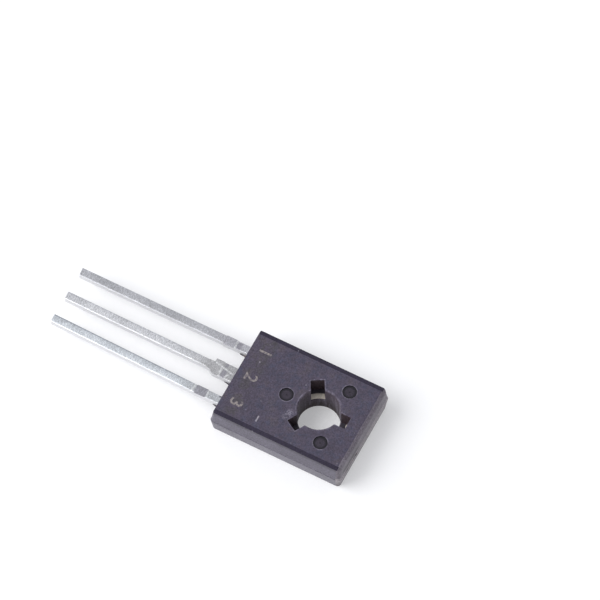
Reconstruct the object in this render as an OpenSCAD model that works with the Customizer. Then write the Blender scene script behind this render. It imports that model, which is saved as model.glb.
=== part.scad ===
// Three-lead power transistor in a flat moulded package with a screw hole.
// It lies on its back: the bare metal pad faces down at z = 0 and the front
// face looks up. The origin is the axis of the screw hole in the back plane,
// the leads point to -Y, and lead 1 is on the -X side.

/* [Body] */
// Width across the parting line
body_w = 7.85; // [7.6:0.05:9.6]
// Length along the parting line
body_l = 10.85; // [10.6:0.05:14]
// Thickness from the back to the front face
body_t = 2.7; // [2.6:0.05:3.3]
// Height of the parting line, where the two mould halves met
parting_z = 1.3; // [1.2:0.05:1.5]
// Distance from the hole axis to the top end at the parting line
hole_to_end = 3.8; // [3.6:0.05:4.6]
// Draft of the side walls and the top end below the parting line, in degrees
back_draft = 6.5; // [1:0.5:8]
// Draft of the side walls and the top end above the parting line, in degrees
front_draft = 5; // [1:0.5:8]
// Draft of the lead end above the parting line, in degrees
lead_end_draft = 9; // [1:0.5:12]
// Draft of the lead end below the parting line, in degrees
lead_end_back_draft = 4; // [1:0.5:8]
// Step left at the parting line by the slightly larger lower mould half
mould_step = 0.02; // [0.01:0.01:0.05]
// Rounding of the front edge at the top end
end_round_r = 0.42; // [0.1:0.02:0.6]
// Rounding of the two upright corners at the top end
end_corner_r = 0.3; // [0.1:0.02:0.6]
// Rounding of the two upright corners at the lead end, at the front face
lead_corner_front_r = 0.12; // [0.06:0.02:0.6]
// Rounding of the same corners at the parting line and below it
lead_corner_r = 0.28; // [0.1:0.02:0.6]
// Width of the smooth land along each long edge of the front face
land_w = 0.33; // [0.1:0.01:0.5]
// Drop of that land from its inner to its outer edge
land_drop = 0.04; // [0.02:0.01:0.1]

/* [Screw hole] */
// Diameter of the screw hole
hole_d = 3.2; // [2.8:0.05:3.9]
// Break of the hole's front rim
hole_rim = 0.07; // [0.03:0.01:0.15]
// Width of the three notches left by the fins of the core pin
notch_w = 1.04; // [0.6:0.02:1.3]
// Length of each notch beyond the wall of the hole
notch_reach = 0.81; // [0.5:0.01:1]
// Number of notches around the hole, with a dimple between each two
notch_count = 3; // [3:1:4]
// Distance from the hole axis to the centre of each ejector dimple
dimple_r = 2.68; // [2.6:0.02:3]
// Diameter of each dimple at the front face
dimple_d = 1.08; // [0.8:0.02:1.2]
// Depth of each dimple
dimple_h = 0.07; // [0.04:0.01:0.2]

/* [Heat-sink pad] */
// Width of the pad
pad_w = 5.4; // [5:0.05:6.4]
// Length of the pad above the hole axis
pad_up = 2.95; // [2.7:0.05:3.4]
// Length of the pad below the hole axis, without its horns
pad_down = 4.8; // [4.6:0.05:5.2]
// Thickness of the pad
pad_t = 1.1; // [1:0.05:1.2]
// Corner radius of the pad
pad_corner_r = 0.85; // [0.4:0.05:1.2]
// Resin between the screw hole and the pad, at the back
ring_back = 0.23; // [0.15:0.01:0.4]
// Resin between the screw hole and the pad, at the pad's front
ring_front = 0.08; // [0.05:0.01:0.15]
// Width of the neck that joins the pad to the centre lead
neck_w = 1.4; // [1:0.05:1.6]
// How far the two horns beside the neck reach past the pad
horn_l = 0.4; // [0.3:0.02:0.5]
// Radius of the hollow outside each horn
horn_hollow_r = 0.45; // [0.3:0.05:0.5]
// Depth of the shallow arc between the horns
horn_dip = 0.15; // [0.05:0.01:0.2]

/* [Leads] */
// Distance between the centres of neighbouring leads
pitch = 2.29; // [2.2:0.01:2.6]
// Length of the leads outside the body
lead_l = 14.15; // [10:0.05:18]
// Width of each lead
lead_w = 0.68; // [0.6:0.02:0.9]
// Thickness of the lead strip
lead_t = 0.5; // [0.4:0.01:0.6]
// Radius that the punch rolled onto the front edges of the strip
roll_r = 0.07; // [0.03:0.01:0.12]
// Width of the centre lead's shoulder
shoulder_w = 1.24; // [1:0.02:1.4]
// Length of the shoulder outside the body
shoulder_l = 1.75; // [1.5:0.05:2.5]
// Length of the taper on the base side of the shoulder
taper_l = 0.45; // [0.3:0.05:0.8]
// Distance from the body to the remains of the tie bar
tie_bar_y = 1.07; // [1:0.01:1.5]
// Width of that tie bar along the lead
tie_bar_w = 0.9; // [0.6:0.05:1.2]
// How far the cut tie bar stands out on the emitter side of a lead
tie_bar_stub = 0.02; // [0.01:0.01:0.15]
// How far its slanting burr stands out on the base side of the emitter and of the base lead
tie_bar_burr = [0.06, 0.02];
// How far the tie bar stands out from the wider shoulder
shoulder_stub = 0.01; // [0.01:0.01:0.05]
// Sideways lean of each lead in degrees, left by handling
lead_lean = [0, 0.35, 1.15];
// Slant of the cut across each tip
tip_slant = 0.06; // [0:0.02:0.2]

/* [Die and bonds] */
// Side of the square silicon die
die_w = 1.7; // [1:0.1:2]
// Thickness of the die
die_t = 0.22; // [0.15:0.01:0.3]
// Thickness of the solder under the die
solder_t = 0.05; // [0.03:0.01:0.08]
// How far the solder spreads past the die
solder_rim = 0.1; // [0.05:0.01:0.2]
// Distance from the lower edge of the pad to the solder
die_edge = 0.15; // [0.05:0.05:0.3]
// Distance from the lower edge of the die to the wire bonds
bond_inset = 0.42; // [0.3:0.02:0.6]
// Distance of the emitter bond from the middle of the die
emitter_bond_x = 0.35; // [0.2:0.05:0.6]
// Distance of the base bond from the middle of the die
base_bond_x = 0.45; // [0.2:0.05:0.6]
// Diameter of the emitter wire
emitter_wire_d = 0.25; // [0.15:0.01:0.3]
// Diameter of the base wire
base_wire_d = 0.18; // [0.12:0.01:0.25]
// Height of the wire loops above the line between their ends
wire_rise = 0.42; // [0.3:0.02:0.5]
// Length of a wire's wedge-bonded foot, in wire diameters
foot_length_ratio = 2.4; // [1.5:0.1:3]
// Width of that foot, in wire diameters
foot_width_ratio = 1.3; // [1.1:0.05:1.6]
// Width of the bonding post inside the body on leads 1 and 3
post_w = 1.5; // [1:0.05:1.7]
// Length of the bonding post
post_l = 0.95; // [0.7:0.05:1]
// Corner radius of the post
post_corner_r = 0.15; // [0.05:0.01:0.3]
// Resin between the post and the pad
post_gap = 0.55; // [0.4:0.05:0.8]

/* [Hidden] */
$fn = 96;
// How far a cutter runs past the face that it opens
over = 1;

hole_r = hole_d / 2;
lead_z = parting_z;
lead_top = lead_z + lead_t;

// Half widths of the body at its three levels
half_parting = body_w / 2;
half_back = half_parting - parting_z * tan(back_draft);
half_upper = half_parting - mould_step;
front_rise = body_t - parting_z;
half_front = half_upper - (front_rise - land_drop) * tan(front_draft);

// Ends of the body at the same levels
end_parting = hole_to_end;
end_back = end_parting - parting_z * tan(back_draft);
end_upper = end_parting - mould_step;
end_front = end_upper - front_rise * tan(front_draft);
wall_y = hole_to_end - body_l;
wall_back = wall_y + parting_z * tan(lead_end_back_draft);
wall_upper = wall_y + mould_step;
wall_front = wall_upper + front_rise * tan(lead_end_draft);

// Crease, in degrees, at which the rounding of an upright corner meets its walls
corner_crease = 4;
// How far that rounding runs on past both ends of its corner
end_margin = 0.12;

// Centre of the rounding along the front edge of the top end
round_y = end_front - end_round_r * (1 - sin(front_draft)) / cos(front_draft);
round_z = body_t - end_round_r;

// Rows of features along the leads
shoulder_y = wall_y - shoulder_l;
stub_y0 = wall_y - tie_bar_y;
stub_y1 = stub_y0 - tie_bar_w;
bend_y = (stub_y0 + stub_y1) / 2;
tip_y = wall_y - lead_l;

// The posts lie beyond the end of the pad, level with the leads
post_y1 = -pad_down - post_gap;
post_y0 = post_y1 - post_l;

// The neck climbs from the tips of the pad's horns to the height of the centre lead
neck_y0 = -pad_down - horn_l;
neck_y1 = neck_y0 - (lead_top - pad_t);
neck_mitre = lead_t * tan(45 / 2);

die_y = pad_down - die_edge - solder_rim - die_w / 2;
die_z = pad_t + solder_t;
die_top = die_z + die_t;
bond_y = -die_y - die_w / 2 + bond_inset;
emitter_pad = [-emitter_bond_x, bond_y];
base_pad = [base_bond_x, bond_y];
post_bond_y = (post_y0 + post_y1) / 2;

// Rounded rectangle from corner a to corner b
module rounded_box_2d(a, b, r) {
    translate([a.x + r, a.y]) square([b.x - a.x - 2 * r, b.y - a.y]);
    translate([a.x, a.y + r]) square([b.x - a.x, b.y - a.y - 2 * r]);
    for (x = [a.x + r, b.x - r], y = [a.y + r, b.y - r])
        translate([x, y]) circle(r);
}

// Section across the body, with the lands along the front face
module cross_section() {
    polygon([
        [-half_back, 0], [half_back, 0],
        [half_parting, parting_z], [half_upper, parting_z],
        [half_front, body_t - land_drop], [half_front - land_w, body_t],
        [land_w - half_front, body_t], [-half_front, body_t - land_drop],
        [-half_upper, parting_z], [-half_parting, parting_z]
    ]);
}

// Section along the body, with the rounded front edge at the top end
module long_section() {
    polygon([
        [wall_back, 0], [end_back, 0],
        [end_parting, parting_z], [end_upper, parting_z],
        [round_y + end_round_r * cos(front_draft), round_z + end_round_r * sin(front_draft)],
        [round_y, body_t], [wall_front, body_t],
        [wall_upper, parting_z], [wall_y, parting_z]
    ]);
    translate([round_y, round_z]) circle(end_round_r);
}

// What the rounding takes off one upright corner. The corner stands at the origin, its walls
// lean inwards by lean_x and lean_y degrees, and its radius goes from r to r_top over rise.
module corner_waste(lean_x, lean_y, r, r_top, rise) {
    cone = atan((r - r_top) / rise);
    inset = r * cos(corner_crease) * cos(cone);
    inset_top = r_top * cos(corner_crease) * cos(cone);
    reach = rise + 2 * end_margin;
    narrowing = (r - r_top) / rise * end_margin;
    translate([-inset / cos(lean_x), -inset / cos(lean_y), 0])
        rotate([asin(tan(lean_y) / norm([tan(lean_x), tan(lean_y), 1])), -lean_x, 0])
            rotate([0, 0, 45]) difference() {
                translate([r * cos(45), 0, 0])
                    rotate([0, atan((r - r_top) * cos(45) / rise), 0])
                        translate([0, -2 * r, -body_t]) cube([2 * r, 4 * r, 3 * body_t]);
                rotate([0, atan(sqrt(2) * (inset - inset_top) / rise), 0])
                    translate([0, 0, -end_margin])
                        cylinder(h = reach, r1 = r + narrowing, r2 = r_top - narrowing);
            }
}

// The same for the four corners of one mould half that rises from z = 0
module half_waste(half, end_y, lead_y, draft, lead_draft, corner_top_r, rise) {
    intersection() {
        for (side = [0, 1]) mirror([side, 0, 0]) {
            translate([half, end_y, 0])
                corner_waste(draft, draft, end_corner_r, end_corner_r, rise);
            translate([half, lead_y, 0]) mirror([0, 1, 0])
                corner_waste(draft, lead_draft, lead_corner_r, corner_top_r, rise);
        }
        translate([-half - over, lead_y - over, 0])
            cube([2 * (half + over), end_y - lead_y + 2 * over, body_t]);
    }
}

// Drafted block: the sections meet at right angles, and its upright corners are rounded
module moulded_block() {
    difference() {
        intersection() {
            translate([0, over + end_parting, 0]) rotate([90, 0, 0])
                linear_extrude(body_l + 2 * over) cross_section();
            translate([-half_parting - over, 0, 0]) rotate([90, 0, 90])
                linear_extrude(body_w + 2 * over) long_section();
        }
        translate([0, 0, parting_z])
            half_waste(half_upper, end_upper, wall_upper, front_draft, lead_end_draft,
                lead_corner_front_r, body_t - parting_z);
        translate([0, 0, parting_z]) mirror([0, 0, 1])
            half_waste(half_parting, end_parting, wall_y, back_draft, lead_end_back_draft,
                lead_corner_r, parting_z);
    }
}

// Screw hole with its broken rim, and the notches down to the pad
module core_pin() {
    translate([0, 0, -over]) cylinder(h = body_t + 2 * over, r = hole_r);
    translate([0, 0, body_t - hole_rim])
        cylinder(h = hole_rim + over, r1 = hole_r, r2 = hole_r + hole_rim + over);
    for (i = [0 : notch_count - 1])
        rotate([0, 0, 90 + i * 360 / notch_count])
            translate([0, -notch_w / 2, pad_t])
                cube([hole_r + notch_reach, notch_w, body_t]);
}

// Shallow marks of the ejector pins
module dimples() {
    for (i = [0 : notch_count - 1])
        rotate([0, 0, 90 + (i + 0.5) * 360 / notch_count])
            translate([dimple_r, 0, body_t - dimple_h])
                cylinder(h = body_t, d = dimple_d);
}

// Thick pad with its horns, the root of the neck between them, and the hole that the resin lines
module pad_plate() {
    horn_x = neck_w / 2;
    arc_r = (horn_x * horn_x + horn_dip * horn_dip) / (2 * horn_dip);
    difference() {
        union() {
            linear_extrude(pad_t) union() {
                rounded_box_2d([-pad_w / 2, -pad_down], [pad_w / 2, pad_up], pad_corner_r);
                difference() {
                    translate([-horn_x - horn_hollow_r, neck_y0])
                        square([2 * (horn_x + horn_hollow_r), horn_l + pad_corner_r]);
                    for (side = [-1, 1])
                        translate([side * (horn_x + horn_hollow_r), neck_y0 + horn_l - horn_hollow_r])
                            circle(horn_hollow_r);
                    translate([0, neck_y0 + horn_dip - arc_r]) circle(arc_r);
                }
            }
            translate([-horn_x, neck_y0, pad_t - lead_t])
                cube([neck_w, horn_l + pad_corner_r, lead_t]);
        }
        translate([0, 0, -over])
            cylinder(h = pad_t + 2 * over,
                     r1 = hole_r + ring_back + (ring_back - ring_front) * over / pad_t,
                     r2 = hole_r + ring_front - (ring_back - ring_front) * over / pad_t);
    }
}

// Bent neck between the pad and the shoulder
module neck() {
    translate([-neck_w / 2, 0, 0]) rotate([90, 0, 90]) linear_extrude(neck_w)
        polygon([
            [neck_y0, pad_t - lead_t], [neck_y0, pad_t], [neck_y1, lead_top],
            [neck_y1 - lead_t, lead_top], [neck_y1 - lead_t, lead_z],
            [neck_y1 - neck_mitre, lead_z], [neck_y0 - neck_mitre, pad_t - lead_t]
        ]);
}

// Section of the strip: the punch rolled its front edges and left the back ones square
module strip_section(w) {
    translate([-w / 2, 0]) square([w, lead_t - roll_r]);
    translate([roll_r - w / 2, 0]) square([w - 2 * roll_r, lead_t]);
    for (side = [-1, 1])
        translate([side * (w / 2 - roll_r), lead_t - roll_r]) circle(roll_r);
}

// Straight strip of width w between two places along the lead
module strip(w, y0, y1) {
    translate([0, y1, lead_z]) rotate([90, 0, 0])
        linear_extrude(y1 - y0) strip_section(w);
}

// Free length beyond the tie bar, leaning about its root, with a slanting cut at the tip
module shank(lean) {
    difference() {
        translate([0, bend_y, 0]) rotate([0, 0, -lean]) strip(lead_w, tip_y - bend_y, 0);
        translate([-lead_w / 2, tip_y, 0]) rotate([0, 0, atan(tip_slant / lead_w)])
            translate([-pitch, -pitch, 0]) cube([3 * pitch, pitch, 2 * lead_top]);
    }
}

// Outer lead with its bonding post and the remains of the tie bar, drawn round x = 0
module outer_lead(lean, burr) {
    edge = lead_w / 2;
    union() {
        shank(lean);
        strip(lead_w, bend_y, post_y0 + lead_t);
        translate([0, 0, lead_z]) linear_extrude(lead_t)
            rounded_box_2d([-post_w / 2, post_y0], [post_w / 2, post_y1], post_corner_r);
        translate([0, 0, lead_z]) linear_extrude(lead_t) polygon([
            [-edge - tie_bar_stub, stub_y0], [edge, stub_y0],
            [edge + burr, stub_y1 + burr], [edge, stub_y1],
            [-edge - tie_bar_stub, stub_y1]
        ]);
    }
}

// Centre lead: a wide shoulder, stepped on one side and tapered on the other
module centre_lead(lean) {
    wide = shoulder_w / 2;
    edge = lead_w / 2;
    union() {
        shank(lean);
        strip(shoulder_w, stub_y0, neck_y1 - lead_t);
        translate([0, 0, lead_z]) linear_extrude(lead_t) polygon([
            [-wide - shoulder_stub, stub_y0], [wide, stub_y0],
            [wide, shoulder_y + taper_l / 3], [edge + tie_bar_stub, shoulder_y - taper_l / 3],
            [edge, shoulder_y - taper_l], [-edge, shoulder_y - taper_l],
            [-edge, shoulder_y - tie_bar_stub], [-wide - shoulder_stub, shoulder_y]
        ]);
    }
}

// Looped wire from point a at height za to point b at height zb, with a wedge foot at each end
module looped_wire(a, za, b, zb, d) {
    run = norm(b - a);
    chord = norm([run, zb - za]);
    arc_r = (chord * chord / 4 + wire_rise * wire_rise) / (2 * wire_rise);
    half_angle = asin(chord / 2 / arc_r);
    foot_l = foot_length_ratio * d;
    foot_w = foot_width_ratio * d;
    translate([a.x, a.y, 0]) rotate([0, 0, atan2(b.y - a.y, b.x - a.x)])
        difference() {
            union() {
                translate([0, 0, za]) rotate([0, -atan2(zb - za, run), 0])
                    translate([chord / 2, 0, wire_rise - arc_r]) rotate([90, 0, 0])
                        rotate([0, 0, 90 - half_angle])
                            rotate_extrude(angle = 2 * half_angle)
                                translate([arc_r, 0]) circle(d = d);
                for (end = [[0, za], [run, zb]])
                    translate([end.x - foot_l / 2, 0, end.y]) rotate([0, 90, 0])
                        cylinder(h = foot_l, d = foot_w);
            }
            translate([-run / 2, -run / 2, za - run]) cube([run, run, run]);
            translate([run / 2, -run / 2, zb - run]) cube([run, run, run]);
        }
}

module heat_sink_pad() {
    color("silver") pad_plate();
}

// The strip goes on from the pad: the two meet on a flat face between the horns
module collector_lead() {
    color("silver") {
        neck();
        centre_lead(lead_lean[1]);
    }
}

module emitter_lead() {
    color("silver") translate([-pitch, 0, 0]) outer_lead(lead_lean[0], tie_bar_burr[0]);
}

module base_lead() {
    color("silver") translate([pitch, 0, 0]) outer_lead(lead_lean[2], tie_bar_burr[1]);
}

module die_solder() {
    side = die_w + 2 * solder_rim;
    color("lightslategray") translate([-side / 2, -die_y - side / 2, pad_t])
        cube([side, side, solder_t]);
}

module silicon_die() {
    color("dimgray") translate([-die_w / 2, -die_y - die_w / 2, die_z])
        cube([die_w, die_w, die_t]);
}

module emitter_wire() {
    color("gainsboro")
        looped_wire(emitter_pad, die_top, [-pitch, post_bond_y], lead_top, emitter_wire_d);
}

module base_wire() {
    color("gainsboro")
        looped_wire(base_pad, die_top, [pitch, post_bond_y], lead_top, base_wire_d);
}

// Moulded resin that encloses everything but the pad's back and the leads
module epoxy_body() {
    color("darkslategray") difference() {
        moulded_block();
        core_pin();
        dimples();
        heat_sink_pad();
        collector_lead();
        emitter_lead();
        base_lead();
        die_solder();
        silicon_die();
        emitter_wire();
        base_wire();
    }
}

epoxy_body();
heat_sink_pad();
collector_lead();
emitter_lead();
base_lead();
silicon_die();
die_solder();
emitter_wire();
base_wire();
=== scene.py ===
# Flat-package power transistor lying on its back on a pale table, seen from above its third lead.
import bpy
import bmesh
import math
from mathutils import Matrix, Vector, noise


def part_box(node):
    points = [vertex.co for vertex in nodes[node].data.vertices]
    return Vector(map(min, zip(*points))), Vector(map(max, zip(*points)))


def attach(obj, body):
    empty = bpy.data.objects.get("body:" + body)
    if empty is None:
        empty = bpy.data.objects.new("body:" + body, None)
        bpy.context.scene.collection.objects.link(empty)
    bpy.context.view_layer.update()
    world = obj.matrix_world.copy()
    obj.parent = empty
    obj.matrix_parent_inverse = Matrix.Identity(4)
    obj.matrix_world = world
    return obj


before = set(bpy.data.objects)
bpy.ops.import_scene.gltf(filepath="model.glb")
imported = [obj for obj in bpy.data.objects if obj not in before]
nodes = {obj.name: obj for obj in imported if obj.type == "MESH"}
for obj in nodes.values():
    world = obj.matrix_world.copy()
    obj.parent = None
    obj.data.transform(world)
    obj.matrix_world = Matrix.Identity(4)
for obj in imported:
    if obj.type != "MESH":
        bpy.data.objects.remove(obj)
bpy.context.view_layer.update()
mm = 0.001
print("frame loaded:", len(nodes), "CAD nodes")


def linear(hexColour):
    # sRGB hex to the linear values that the nodes take
    parts = [int(hexColour[i:i + 2], 16) / 255 for i in (1, 3, 5)]
    return [p / 12.92 if p <= 0.04045 else ((p + 0.055) / 1.055) ** 2.4 for p in parts] + [1.0]


def addNode(tree, kind, inputs=None, **settings):
    # Adds a node; an input is a plain value, a socket, or a node whose first output is meant
    node = tree.nodes.new(kind)
    for name, value in settings.items():
        setattr(node, name, value)
    for name, value in (inputs or {}).items():
        if isinstance(value, bpy.types.Node):
            value = value.outputs[0]
        if isinstance(value, bpy.types.NodeSocket):
            tree.links.new(value, node.inputs[name])
        else:
            node.inputs[name].default_value = value
    return node


def newMaterial(name):
    material = bpy.data.materials.new(name)
    material.use_nodes = True
    material.node_tree.nodes.clear()
    return material, material.node_tree


def between(tree, value, low, high, soft):
    # 1 from low to high along a coordinate, fading out over soft on both sides
    rise = addNode(tree, "ShaderNodeMapRange", {"Value": value, "From Min": low - soft, "From Max": low})
    fall = addNode(tree, "ShaderNodeMapRange", {"Value": value, "From Min": high, "From Max": high + soft,
                                                "To Min": 1.0, "To Max": 0.0})
    return addNode(tree, "ShaderNodeMath", {0: rise, 1: fall}, operation="MULTIPLY")


def spot(tree, flat, centre, radius, soft):
    # 1 inside a circle seen along Z
    far = addNode(tree, "ShaderNodeVectorMath", {0: flat, 1: (*centre, 0)}, operation="DISTANCE")
    return addNode(tree, "ShaderNodeMapRange", {"Value": far.outputs["Value"], "From Min": radius,
                                                "From Max": radius + soft, "To Min": 1.0, "To Max": 0.0})


def stroke(tree, flat, start, end, width):
    # 1 along a thin line seen along Z, fading out over its width
    start, end = Vector((*start, 0)), Vector((*end, 0))
    length = (end - start).length
    course = (end - start) / length
    away = addNode(tree, "ShaderNodeVectorMath", {0: flat, 1: start}, operation="SUBTRACT")
    along = addNode(tree, "ShaderNodeVectorMath", {0: away, 1: course}, operation="DOT_PRODUCT")
    held = addNode(tree, "ShaderNodeClamp", {"Value": along.outputs["Value"], "Min": 0.0, "Max": length})
    foot = addNode(tree, "ShaderNodeVectorMath", {0: course, "Scale": held}, operation="SCALE")
    far = addNode(tree, "ShaderNodeVectorMath", {0: away, 1: foot}, operation="DISTANCE")
    return addNode(tree, "ShaderNodeMapRange", {"Value": far.outputs["Value"], "From Min": width * 0.25,
                                                "From Max": width, "To Min": 1.0, "To Max": 0.0})


def overlap(tree, *masks):
    # 1 where all the masks are 1; a number among them weakens the rest
    shared = masks[0]
    for mask in masks[1:]:
        shared = addNode(tree, "ShaderNodeMath", {0: shared, 1: mask}, operation="MULTIPLY")
    return shared


def layerColours(tree, colour, layers):
    # Lays each colour over the ones before it, where its mask is 1
    for mask, hexColour in layers:
        colour = addNode(tree, "ShaderNodeMix", {0: mask, 6: colour, 7: linear(hexColour)},
                         data_type="RGBA").outputs[2]
    return colour


# Places taken from the CAD, in metres
bodyLow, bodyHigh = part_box("epoxy_body")
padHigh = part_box("heat_sink_pad")[1]
leadLow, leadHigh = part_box("base_lead")
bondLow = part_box("emitter_lead")[0]
postHalf = 0.75 * mm       # a bonding post reaches this far from the middle of its lead
pitch = (leadHigh.x - bondLow.x) / 2 - postHalf
partingZ = leadLow.z
leadTop = leadHigh.z
beyond = 1 * mm            # a step that is sure to end past the face it starts from

# Camera at the angle of a hand-held close-up
camera = {
    "azimuth": 28.68,      # turn of the view round the part, degrees
    "elevation": 63.42,    # height of the view above the table, degrees
    "roll": 1.0,           # tilt of the frame, degrees
    "target": (-8.50 * mm, -6.065 * mm, 0.0),
    "distance": 483.5 * mm,
    "frameWidth": 44.66 * mm,
    "sensor": 36.0,        # millimetres, as the lens counts them
    "nearest": 1 * mm,     # how close and how far the camera sees
    "farthest": 10,
}


def makeCamera(values):
    az, el = math.radians(values["azimuth"]), math.radians(values["elevation"])
    roll = math.radians(values["roll"])
    right = Vector((-math.sin(az), math.cos(az), 0))
    back = Vector((math.cos(el) * math.cos(az), math.cos(el) * math.sin(az), math.sin(el)))
    up = back.cross(right)
    turnedRight = right * math.cos(roll) - up * math.sin(roll)
    turnedUp = right * math.sin(roll) + up * math.cos(roll)
    data = bpy.data.cameras.new("viewCamera")
    data.sensor_width = values["sensor"]
    data.lens = values["sensor"] * values["distance"] / values["frameWidth"]
    data.clip_start = values["nearest"]
    data.clip_end = values["farthest"]
    obj = bpy.data.objects.new("viewCamera", data)
    place = Matrix((turnedRight, turnedUp, back)).transposed().to_4x4()
    place.translation = Vector(values["target"]) + back * values["distance"]
    obj.matrix_world = place
    bpy.context.scene.collection.objects.link(obj)
    bpy.context.scene.camera = obj


makeCamera(camera)
print("camera placed")

# Soft daylight studio with a white paper sweep
studio = {
    "horizon": "#ffffff",      # soft white surround
    "zenith": "#c4c7cd",       # ceiling is a little darker than the walls
    "mirrored": "#d0d2d6",     # the room as metal mirrors it, so that tin stands out from the paper
    "white": "#ffffff",
    "darkens": (0.15, 0.9),    # heights between which the surround darkens
    "skyStrength": 0.85,
    "lampTowards": (0.38, -0.62, 0.74),
    "lampWatts": 1.6,
    "lampSize": 0.34,
    "lampDistance": 0.42,
    "lampOver": (0, -6 * mm, 0),   # the place that the lamp is aimed at
    "paper": "#dadadb",
    "paperGlow": 0.29,         # white added to the paper as it is seen, so that shadows stay pale
    "paperSize": 3.0,
    "paperDrop": 0.002 * mm,   # keeps the paper clear of the back face
    "fadeFrom": 60 * mm,       # past here the paper goes to plain white
    "fadeTo": 450 * mm,
}


def makeStudio(values):
    world = bpy.data.worlds.new("paleStudio")
    world.use_nodes = True
    bpy.context.scene.world = world
    tree = world.node_tree
    tree.nodes.clear()
    where = addNode(tree, "ShaderNodeTexCoord").outputs["Generated"]
    height = addNode(tree, "ShaderNodeSeparateXYZ", {0: where}).outputs[2]
    rise = addNode(tree, "ShaderNodeMapRange", {"Value": height, "From Min": values["darkens"][0],
                                                "From Max": values["darkens"][1]},
                   interpolation_type="SMOOTHSTEP")
    sky = addNode(tree, "ShaderNodeMix", {0: rise, 6: linear(values["horizon"]),
                                          7: linear(values["zenith"])}, data_type="RGBA").outputs[2]
    lit = addNode(tree, "ShaderNodeBackground", {"Color": sky, "Strength": values["skyStrength"]})
    mirrored = addNode(tree, "ShaderNodeBackground", {"Color": linear(values["mirrored"]), "Strength": 1.0})
    white = addNode(tree, "ShaderNodeBackground", {"Color": linear(values["white"]), "Strength": 1.0})
    path = addNode(tree, "ShaderNodeLightPath")
    shine = addNode(tree, "ShaderNodeMath", {0: path.outputs["Is Glossy Ray"],
                                             1: path.outputs["Is Transmission Ray"]}, operation="MAXIMUM")
    mix = addNode(tree, "ShaderNodeMixShader", {0: shine, 1: lit, 2: mirrored})
    mix = addNode(tree, "ShaderNodeMixShader", {0: path.outputs["Is Camera Ray"], 1: mix, 2: white})
    addNode(tree, "ShaderNodeOutputWorld", {0: mix})

    data = bpy.data.lights.new("windowSoftbox", "AREA")
    data.shape = "SQUARE"
    data.size = values["lampSize"]
    data.energy = values["lampWatts"]
    obj = bpy.data.objects.new("windowSoftbox", data)
    towards = Vector(values["lampTowards"]).normalized()
    obj.matrix_world = Matrix.Translation(towards * values["lampDistance"] + Vector(values["lampOver"])) @ \
        towards.to_track_quat("Z", "Y").to_matrix().to_4x4()
    bpy.context.scene.collection.objects.link(obj)

    bm = bmesh.new()
    bmesh.ops.create_grid(bm, x_segments=2, y_segments=2, size=values["paperSize"] / 2)
    bmesh.ops.translate(bm, vec=(0, 0, -values["paperDrop"]), verts=bm.verts)
    mesh = bpy.data.meshes.new("paperSweep")
    bm.to_mesh(mesh)
    bm.free()
    obj = bpy.data.objects.new("paperSweep", mesh)
    bpy.context.scene.collection.objects.link(obj)
    # Uncoated paper: pale and without gloss, over-lit enough to lose most of its shadows
    material, tree = newMaterial("uncoatedPaper")
    paper = addNode(tree, "ShaderNodeBsdfDiffuse", {"Color": linear(values["paper"])})
    path = addNode(tree, "ShaderNodeLightPath")
    seen = addNode(tree, "ShaderNodeMath", {0: path.outputs["Is Glossy Ray"],
                                            1: path.outputs["Is Transmission Ray"]}, operation="MAXIMUM")
    seen = addNode(tree, "ShaderNodeMath", {0: seen, 1: path.outputs["Is Camera Ray"]}, operation="MAXIMUM")
    share = addNode(tree, "ShaderNodeMath", {0: seen, 1: values["paperGlow"]}, operation="MULTIPLY")
    glow = addNode(tree, "ShaderNodeEmission", {"Color": linear(values["white"]), "Strength": share})
    near = addNode(tree, "ShaderNodeAddShader", {0: paper, 1: glow})
    where = addNode(tree, "ShaderNodeTexCoord").outputs["Object"]
    away = addNode(tree, "ShaderNodeVectorMath", {0: where}, operation="LENGTH").outputs["Value"]
    away = addNode(tree, "ShaderNodeMapRange", {"Value": away, "From Min": values["fadeFrom"],
                                                "From Max": values["fadeTo"]})
    white = addNode(tree, "ShaderNodeEmission", {"Color": linear(values["white"])})
    faded = addNode(tree, "ShaderNodeMixShader", {0: overlap(tree, seen, away), 1: near, 2: white})
    addNode(tree, "ShaderNodeOutputMaterial", {0: faded})
    mesh.materials.append(material)


makeStudio(studio)
print("studio ready")

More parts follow.
